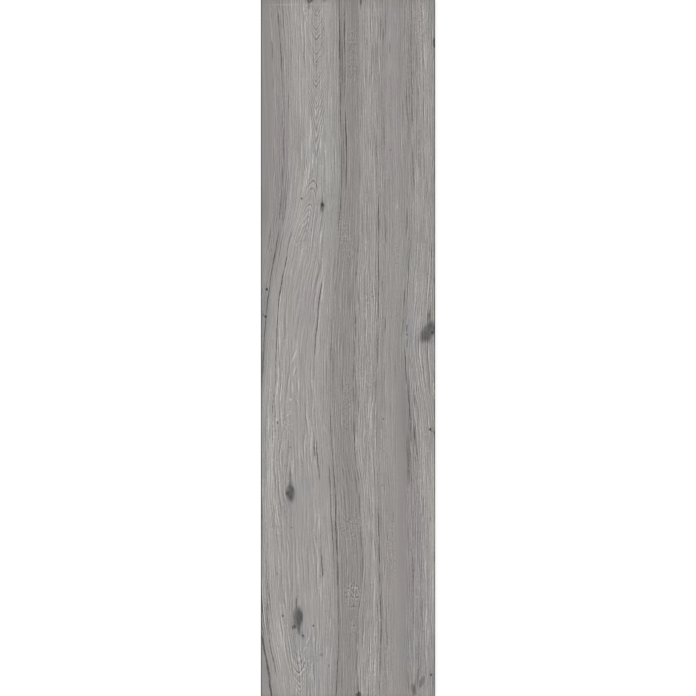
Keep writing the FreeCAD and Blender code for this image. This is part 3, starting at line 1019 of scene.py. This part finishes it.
# %% How a rim is drawn out
def drawn_out(tree, mesh, rim, target):
    """The mesh with a strip of new faces from its rim to the target, and the new rim."""
    feeds = {"Mesh": mesh, "Selection": rim, "Offset Scale": 0.0}
    strip = add(tree, "GeometryNodeExtrudeMesh", feeds, mode="EDGES").outputs
    feeds = {"Geometry": strip["Mesh"], "Selection": strip["Top"], "Position": target}
    return add(tree, "GeometryNodeSetPosition", feeds), strip["Top"]


# %% The arris and the sides
def arris_and_sides(tree, given, position, face, rim, inner):
    """The face with its rim drawn out over the arris and down to the bed, and the last rim."""
    out_x, out_y = (
        add(tree, "ShaderNodeMath", (given[name], size), operation="DIVIDE")
        for name, size in zip(("Width", "Length"), inner)
    )
    feeds = (given["Thickness"], given["Arris"])
    shoulder = add(tree, "ShaderNodeMath", feeds, operation="SUBTRACT")
    split = add(tree, "ShaderNodeSeparateXYZ", (position,)).outputs
    spread_x = add(tree, "ShaderNodeMath", (split["X"], out_x), operation="MULTIPLY")
    spread_y = add(tree, "ShaderNodeMath", (split["Y"], out_y), operation="MULTIPLY")
    outer = add(tree, "ShaderNodeCombineXYZ", (spread_x, spread_y, shoulder))
    slope, outer_rim = drawn_out(tree, face, rim, outer)
    foot = add(tree, "ShaderNodeCombineXYZ", (split["X"], split["Y"], 0.0))
    return drawn_out(tree, slope, outer_rim, foot)


# %% The keyed back
def keyed_back(tree, given, rim, wall, bed_rim):
    """Pockets on a grid, and the ribs that fill the bed between their mouths."""
    span_x, span_y = (
        add(tree, "ShaderNodeMath", (given[pitch], keys - 1.0), operation="MULTIPLY")
        for pitch, keys in (("Pitch across", KEYS_ACROSS), ("Pitch along", KEYS_ALONG))
    )
    spots = add(tree, "GeometryNodeMeshGrid", (span_x, span_y, KEYS_ACROSS, KEYS_ALONG))
    shape = add(tree, "GeometryNodeObjectInfo", {"Object": given["Pocket"]}).outputs["Geometry"]
    copies = add(tree, "GeometryNodeInstanceOnPoints", {"Points": spots, "Instance": shape})
    pockets = add(tree, "GeometryNodeRealizeInstances", {"Geometry": copies})
    outlines = add(tree, "GeometryNodeJoinGeometry")
    for mesh, edge in ((pockets, rim), (wall, bed_rim)):
        loop = add(tree, "GeometryNodeMeshToCurve", {"Mesh": mesh, "Selection": edge})
        tree.links.new(loop.outputs[0], outlines.inputs[0])
    sheet = add(tree, "GeometryNodeFillCurve", {"Curve": outlines}, mode="TRIANGLES")
    return pockets, add(tree, "GeometryNodeFlipFaces", {"Mesh": sheet})


# %% One skin
WELD = 0.002 * MM

# The glaze ends this share of the arris below the face, and the back this many pocket depths
# above the bed
GLAZE_REACH = 0.45
BACK_REACH = 1.5


def one_skin(tree, given, position, parts):
    """The parts welded into one mesh, with a material for each height on the tile."""
    whole = add(tree, "GeometryNodeJoinGeometry")
    for part in parts:
        tree.links.new(part.outputs[0], whole.inputs[0])
    welded = add(tree, "GeometryNodeMergeByDistance", {"Geometry": whole, "Distance": WELD})
    real = add(tree, "GeometryNodeRealizeInstances", {"Geometry": welded})
    height = add(tree, "ShaderNodeSeparateXYZ", (position,)).outputs["Z"]
    feeds = (given["Arris"], -GLAZE_REACH, given["Thickness"])
    glaze_end = add(tree, "ShaderNodeMath", feeds, operation="MULTIPLY_ADD")
    back_end = add(tree, "ShaderNodeMath", (given["Key depth"], BACK_REACH), operation="MULTIPLY")
    skin = add(tree, "GeometryNodeSetMaterial", {"Geometry": real, "Material": given["Back"]})
    for end, name in ((back_end, "Ground edge"), (glaze_end, "Glaze")):
        above = add(tree, "FunctionNodeCompare", (height, end), operation="GREATER_THAN")
        feeds = {"Geometry": skin, "Selection": above, "Material": given[name]}
        skin = add(tree, "GeometryNodeSetMaterial", feeds)
    return skin


# %% The tree that makes the tile
def tile_tree():
    """The geometry tree of the tile, with its sizes as named inputs."""
    tree = bpy.data.node_groups.new("Pressed tile", "GeometryNodeTree")
    tree.interface.new_socket("Geometry", in_out="OUTPUT", socket_type="NodeSocketGeometry")
    sizes = {
        "Width": WIDTH, "Length": LENGTH, "Thickness": THICKNESS, "Arris": ARRIS,
        "Pitch across": PITCH_X, "Pitch along": PITCH_Y, "Key depth": KEY_DEPTH,
        "Grain depth": 1.0,
    }
    for name, size in sizes.items():
        socket = tree.interface.new_socket(name, in_out="INPUT", socket_type="NodeSocketFloat")
        socket.default_value = size
    tree.interface.new_socket("Pocket", in_out="INPUT", socket_type="NodeSocketObject")
    for name in ("Glaze", "Ground edge", "Back"):
        tree.interface.new_socket(name, in_out="INPUT", socket_type="NodeSocketMaterial")
    given = add(tree, "NodeGroupInput").outputs

    wide, long = (
        add(tree, "ShaderNodeMath", (given["Arris"], -2.0, given[name]), operation="MULTIPLY_ADD")
        for name in ("Width", "Length")
    )
    position = add(tree, "GeometryNodeInputPosition")
    face = printed_face(tree, given, position, wide, long)

    # A rim is where an edge has one face alone. Whole numbers are compared at inputs 2 and 3
    faces = add(tree, "GeometryNodeInputMeshEdgeNeighbors")
    rim = add(tree, "FunctionNodeCompare", {2: faces, 3: 1}, data_type="INT", operation="EQUAL")
    wall, bed_rim = arris_and_sides(tree, given, position, face, rim, (wide, long))
    pockets, ribs = keyed_back(tree, given, rim, wall, bed_rim)
    add(tree, "NodeGroupOutput", (one_skin(tree, given, position, (wall, pockets, ribs)),))
    return tree, sizes


tile_nodes, tile_sizes = tile_tree()
print("the tile's tree has", len(tile_nodes.nodes), "nodes")

# %% [markdown]
# ## The printed glaze
#
# The ink of these tiles is fired into a matt glaze, so the face looks like dry wood but feels
# like glass: a dielectric with an index near 1.5 and a roughness around a half, where bare
# wood would be rougher still. The inks go in six steps from a blue black over brown greys to
# a pale grey, and the tone of the figure says where on them each place lies. Faint tints are
# multiplied over that. The satin patches and the fine pores are a little coarser than real
# ones, so that they show.

# %% What all three surfaces share
PORCELAIN_IOR = 1.5

# Where a node that mixes two colours has its share, its two colours and its result
SHARE, FIRST, SECOND, RESULT = 0, 6, 7, 2


def new_material(name):
    """A material with an empty net of nodes, and the net itself."""
    made = bpy.data.materials.new(name)
    made.use_nodes = True
    made.node_tree.nodes.clear()
    return made, made.node_tree


def finish_material(tree, colour, roughness, height, bump_mm):
    """The shader that a dry mineral surface needs: colour, roughness and a fine bump."""
    feeds = {"Height": height, "Strength": 1.0, "Distance": bump_mm * MM}
    bump = add(tree, "ShaderNodeBump", feeds)
    feeds = {
        "Base Color": colour, "Roughness": roughness, "IOR": PORCELAIN_IOR, "Normal": bump,
    }
    surface = add(tree, "ShaderNodeBsdfPrincipled", feeds)
    add(tree, "ShaderNodeOutputMaterial", (surface,))


# %% The printed glaze: inks by tone, tints, and (width, length) of its patches and pores
INKS = (
    (40, "#292c2e"), (80, "#52504e"), (115, "#76726f"),
    (148, "#97928f"), (172, "#afaba7"), (200, "#cbc7c3"),
)
TINTS = {"Cool": "#f9fcff", "Blue": "#f9fbff", "Mauve": "#fcfbff", "Green": "#fbfffe"}
SATIN_MM = (1.2, 2.4)
GLAZE_ROUGHNESS = (0.46, 0.60)
GLAZE_PORES_MM = (0.5, 5.0)
GLAZE_BUMP_MM = 0.04


def printed_glaze():
    """Matt glaze over ink, pressed and fired."""
    made, tree = new_material("printed_matt_glaze")
    place = place_on_board(tree, add(tree, "ShaderNodeTexCoord").outputs["Object"])
    figure = add(tree, "ShaderNodeGroup", {"Place": place}, node_tree=shader_figure)
    darkest, palest = float(INKS[0][0]), float(INKS[-1][0])
    feeds = (figure.outputs["Tone"], darkest, palest, 0.0, 1.0)
    colour = add(tree, "ShaderNodeValToRGB", (add(tree, "ShaderNodeMapRange", feeds),))
    # A new ramp has two stops already
    stops = colour.color_ramp.elements
    for at, (tone, hex_colour) in enumerate(INKS):
        share = (tone - darkest) / (palest - darkest)
        stop = stops[at] if at < 2 else stops.new(share)
        stop.position = share
        stop.color = linear(hex_colour)
    for name, hex_colour in TINTS.items():
        feeds = {SHARE: figure.outputs[name], FIRST: colour, SECOND: linear(hex_colour)}
        tinted = add(tree, "ShaderNodeMix", feeds, data_type="RGBA", blend_type="MULTIPLY")
        colour = tinted.outputs[RESULT]
    satin = stretched_noise(tree, place, *SATIN_MM)
    roughness = add(tree, "ShaderNodeMapRange", (satin, -1.0, 1.0, *GLAZE_ROUGHNESS))
    pores = stretched_noise(tree, place, *GLAZE_PORES_MM, 3.0)
    finish_material(tree, colour, roughness, pores, GLAZE_BUMP_MM)
    return made


glaze = printed_glaze()
print(glaze.name, "has", len(INKS), "inks and", len(TINTS), "tints")

# %% [markdown]
# ## The ground edge
#
# The sides are bare porcelain, cut by a diamond wheel after the firing. The body is so dense
# that a cut shows a fine grey with specks under a millimetre wide, duller than the glaze, and
# faint scratches that run along the side. The arris is painted much darker than the body, as
# painted shade of the bevel: in a picture it draws a thin line round the face. One material
# does both, because the height says which of them it is on.

# %% The ground edge
EDGE_GRAINS_PER_MM = 1.4
# The noise values between which the dark body turns pale
EDGE_SPECKS = (0.35, 0.65)
EDGE_DARK = "#7d7a77"
EDGE_PALE = "#94908b"
# The arris colour is painted shade, far darker than the body it is ground from
ARRIS_PAINTED_SHADE = "#33322f"
ARRIS_BLEND_MM = 0.05
# One in 50 mm along the side, and six to a millimetre of its height
SCRATCHES_PER_MM = (0.02, 0.02, 6.0)
EDGE_ROUGHNESS = 0.7
EDGE_BUMP_MM = 0.05


def place_in_mm(tree):
    """The place on the tile in millimetres, from its middle, and up from its bed."""
    spot = add(tree, "ShaderNodeTexCoord").outputs["Object"]
    return add(tree, "ShaderNodeVectorMath", (spot, (1 / MM,) * 3), operation="MULTIPLY")


def ground_edge():
    """Bare porcelain where the wheel cut it: a fine grey body, with painted shade on the arris."""
    made, tree = new_material("ground_porcelain_body")
    place = place_in_mm(tree)
    feeds = {"Vector": place, "Scale": EDGE_GRAINS_PER_MM, "Detail": 3.0}
    grains = add(tree, "ShaderNodeTexNoise", feeds).outputs[0]
    height = add(tree, "ShaderNodeSeparateXYZ", (place,)).outputs["Z"]
    shoulder = (THICKNESS - ARRIS) / MM
    feeds = (height, shoulder - ARRIS_BLEND_MM, shoulder + ARRIS_BLEND_MM, 0.0, 1.0)
    arris_shade_share = add(tree, "ShaderNodeMapRange", feeds)
    speck = add(tree, "ShaderNodeMapRange", (grains, *EDGE_SPECKS, 0.0, 1.0))
    feeds = {SHARE: speck, FIRST: linear(EDGE_DARK), SECOND: linear(EDGE_PALE)}
    body = add(tree, "ShaderNodeMix", feeds, data_type="RGBA").outputs[RESULT]
    feeds = {SHARE: arris_shade_share, FIRST: body, SECOND: linear(ARRIS_PAINTED_SHADE)}
    colour = add(tree, "ShaderNodeMix", feeds, data_type="RGBA").outputs[RESULT]
    lines = add(tree, "ShaderNodeVectorMath", (place, SCRATCHES_PER_MM), operation="MULTIPLY")
    scratches = add(tree, "ShaderNodeTexNoise", {"Vector": lines, "Scale": 1.0, "Detail": 2.0})
    finish_material(tree, colour, EDGE_ROUGHNESS, scratches, EDGE_BUMP_MM)
    return made


sides = ground_edge()
print(sides.name, "has", EDGE_GRAINS_PER_MM, "grains to a millimetre")

# %% [markdown]
# ## The fired back
#
# No glaze goes on the back. It is the pressed body as it left the kiln: matt, warm grey, a
# little cloudy and finely grained. Only the ribs touched the rollers, so they have a dusting
# of the pale wash that keeps a tile from sticking there. Noise makes the clouds, the grain and
# the dust, and the height above the bed says where the ribs are.

# %% The fired back
BACK_GRAINS_PER_MM = 0.9
BACK_CLOUDS_PER_MM = 0.025
# The noise values between which the dark body turns pale
BACK_CLOUDS = (0.35, 0.65)
BACK_DARK = "#8f8a83"
BACK_PALE = "#a09a92"
WASH_COLOUR = "#c9c5bd"
WASH_REACH_MM = 0.25
# The noise values between which the wash goes from thinnest to full
WASH_GRAINS = (0.42, 0.60)
WASH_LEAST = 0.25
BACK_ROUGHNESS = 0.85
BACK_BUMP_MM = 0.15


def fired_back():
    """The unglazed back: fired body with a dusting of the wash that keeps it off the rollers."""
    made, tree = new_material("fired_porcelain_back")
    place = place_in_mm(tree)
    feeds = {"Vector": place, "Scale": BACK_GRAINS_PER_MM, "Detail": 4.0}
    grains = add(tree, "ShaderNodeTexNoise", feeds).outputs[0]
    feeds = {"Vector": place, "Scale": BACK_CLOUDS_PER_MM, "Detail": 3.0}
    clouds = add(tree, "ShaderNodeTexNoise", feeds).outputs[0]
    height = add(tree, "ShaderNodeSeparateXYZ", (place,)).outputs["Z"]
    on_ribs = add(tree, "ShaderNodeMapRange", (height, 0.0, WASH_REACH_MM, 1.0, 0.0))
    dust = add(tree, "ShaderNodeMapRange", (grains, *WASH_GRAINS, WASH_LEAST, 1.0))
    dust = add(tree, "ShaderNodeMath", (dust, on_ribs), operation="MULTIPLY")
    cloudy = add(tree, "ShaderNodeMapRange", (clouds, *BACK_CLOUDS, 0.0, 1.0))
    feeds = {SHARE: cloudy, FIRST: linear(BACK_DARK), SECOND: linear(BACK_PALE)}
    body = add(tree, "ShaderNodeMix", feeds, data_type="RGBA").outputs[RESULT]
    feeds = {SHARE: dust, FIRST: body, SECOND: linear(WASH_COLOUR)}
    colour = add(tree, "ShaderNodeMix", feeds, data_type="RGBA").outputs[RESULT]
    finish_material(tree, colour, BACK_ROUGHNESS, grains, BACK_BUMP_MM)
    return made


back = fired_back()
tile_materials = {"Glaze": glaze, "Ground edge": sides, "Back": back}
print(back.name, "has clouds about", round(1 / BACK_CLOUDS_PER_MM), "mm wide")

# %% [markdown]
# ## Run the tree and keep a plain mesh
#
# The tree sits in a modifier. Its inputs are set by the identifiers of their sockets before
# the object is first evaluated. The result is then copied to a plain mesh, the modifier goes,
# and the mesh becomes the visible tile, in place of the slab that the frame holds.

# %% Make the tile
def run_tile_tree():
    """Evaluates the tile's tree and returns the finished mesh."""
    holder = bpy.data.objects.new("tile_maker", bpy.data.meshes.new("tile_maker"))
    bpy.context.scene.collection.objects.link(holder)
    modifier = holder.modifiers.new("pressed tile", "NODES")
    modifier.node_group = tile_nodes
    values = {**tile_sizes, **tile_materials, "Pocket": pocket}
    for item in tile_nodes.interface.items_tree:
        if item.in_out == "INPUT":
            modifier[item.identifier] = values[item.name]
    graph = bpy.context.evaluated_depsgraph_get()
    mesh = bpy.data.meshes.new_from_object(holder.evaluated_get(graph))
    bpy.data.objects.remove(holder)
    return mesh


tile_mesh = run_tile_tree()
tile_mesh.name = "porcelain_plank"
# The grid brings an empty material slot, which goes
while None in tile_mesh.materials[:]:
    tile_mesh.materials.pop(index=tile_mesh.materials[:].index(None))
plank = bpy.data.objects.new("porcelain_plank", tile_mesh)
bpy.context.scene.collection.objects.link(plank)

check = bmesh.new()
check.from_mesh(tile_mesh)
open_edges = sum(1 for edge in check.edges if len(edge.link_faces) != 2)
triangles = sum(len(face.verts) - 2 for face in check.faces)
print(f"tile: {triangles} triangles, {open_edges} open edges, "
      f"{check.calc_volume(signed=True) * 1e3:.4f} litres, "
      f"materials {[made.name for made in tile_mesh.materials]}")
check.free()

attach(plank, "root")
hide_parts("plank_tile")

# %% [markdown]
# ## Floor, light and camera
#
# The tile lies on a plain pale floor and the camera looks straight down on it, as when tiles
# are pictured for a catalogue. The light is soft and even, with a little more from the left,
# so that the pressed grain has a lit and a shaded side. Seen by the camera, floor and world
# are white, while the tile is lit at a level at which its colours come out as written.
#
# A solid floor would leave the back black for anyone who looks from below. So this one lies a
# hair below the tile and lets scattered light and shadow rays through. It can be seen from
# above alone, and there it still shows the tile's shadow.

# %% Floor
FLOOR_SIZE = 14.0
FLOOR_GAP = 0.05 * MM
FLOOR_GLOW = 0.76
FLOOR_COLOUR = "#a8a8a8"
WHITE = "#ffffff"


def any_of(tree, shares):
    """The greatest of these shares, so 1 for a ray that is any of these kinds."""
    greatest = shares[0]
    for share in shares[1:]:
        greatest = add(tree, "ShaderNodeMath", (greatest, share), operation="MAXIMUM")
    return greatest


def seen_directly(tree, rays):
    """1 for what the camera sees, also in a mirror or through glass."""
    kinds = ("Is Camera Ray", "Is Glossy Ray", "Is Transmission Ray")
    return any_of(tree, [rays[kind] for kind in kinds])


def pale_floor():
    """A white floor that keeps the tile's shadow, and lets light from below reach its back."""
    made, tree = new_material("white_floor")
    rays = add(tree, "ShaderNodeLightPath").outputs
    seen = seen_directly(tree, rays)
    glow = add(tree, "ShaderNodeMath", (seen, FLOOR_GLOW), operation="MULTIPLY")
    matt = add(tree, "ShaderNodeBsdfDiffuse", {"Color": linear(FLOOR_COLOUR)})
    shine = add(tree, "ShaderNodeEmission", {"Color": linear(WHITE), "Strength": glow})
    top = add(tree, "ShaderNodeAddShader", (matt, shine))
    below = add(tree, "ShaderNodeNewGeometry").outputs["Backfacing"]
    through = any_of(tree, (below, rays["Is Diffuse Ray"], rays["Is Shadow Ray"]))
    clear = add(tree, "ShaderNodeBsdfTransparent")
    both = add(tree, "ShaderNodeMixShader", (through, top, clear))
    add(tree, "ShaderNodeOutputMaterial", (both,))
    return made


floor_mesh = bpy.data.meshes.new("floor")
reach = FLOOR_SIZE / 2
corners = ((-reach, -reach), (reach, -reach), (reach, reach), (-reach, reach))
floor_mesh.from_pydata([(*corner, -FLOOR_GAP) for corner in corners], [], [(0, 1, 2, 3)])
floor_mesh.materials.append(pale_floor())
floor = bpy.data.objects.new("floor", floor_mesh)
bpy.context.scene.collection.objects.link(floor)
print(f"the floor is {FLOOR_SIZE:.0f} m wide and {FLOOR_GAP / MM:.2f} mm below the tile")

# %% World
SKY_LEVEL = 0.64

world = bpy.data.worlds.new("studio")
bpy.context.scene.world = world
world.use_nodes = True
sky = world.node_tree
sky.nodes.clear()
seen = seen_directly(sky, add(sky, "ShaderNodeLightPath").outputs)
dim = add(sky, "ShaderNodeBackground", {"Color": linear(WHITE), "Strength": SKY_LEVEL})
white = add(sky, "ShaderNodeBackground", {"Color": linear(WHITE), "Strength": 1.0})
mixed = add(sky, "ShaderNodeMixShader", (seen, dim, white))
add(sky, "ShaderNodeOutputWorld", (mixed,))
print("the sky lights the tile at", SKY_LEVEL)

# %% Lamp
LAMP_WIDTH = 1.6
LAMP_LENGTH = 3.0
LAMP_WATTS = 58.0
LAMP_PLACE = Vector((-2.6, 0.0, 2.8))

lamp_data = bpy.data.lights.new("window_light", "AREA")
lamp_data.shape = "RECTANGLE"
lamp_data.size = LAMP_WIDTH
lamp_data.size_y = LAMP_LENGTH
lamp_data.energy = LAMP_WATTS
lamp = bpy.data.objects.new("window_light", lamp_data)
lamp.location = LAMP_PLACE
lamp.rotation_euler = (-LAMP_PLACE).to_track_quat("-Z", "Y").to_euler()
bpy.context.scene.collection.objects.link(lamp)
print(f"the lamp is {LAMP_PLACE.length:.2f} m from the tile")

# %% Camera
LENS_MM = 100.0
SENSOR_MM = 36.0
FARTHEST = 50.0
# A little less than the tile's length, so that its two short ends are cut off
VIEW_HEIGHT = LENGTH - 3 * ARRIS

camera_data = bpy.data.cameras.new("camera")
camera_data.lens = LENS_MM
camera_data.sensor_width = SENSOR_MM
camera_data.clip_end = FARTHEST
camera = bpy.data.objects.new("camera", camera_data)
camera.location = (0.0, 0.0, THICKNESS + VIEW_HEIGHT * LENS_MM / SENSOR_MM)
bpy.context.scene.collection.objects.link(camera)
bpy.context.scene.camera = camera
bpy.context.scene.view_settings.view_transform = "Standard"
print(f"the camera looks down from {camera.location.z:.2f} m")
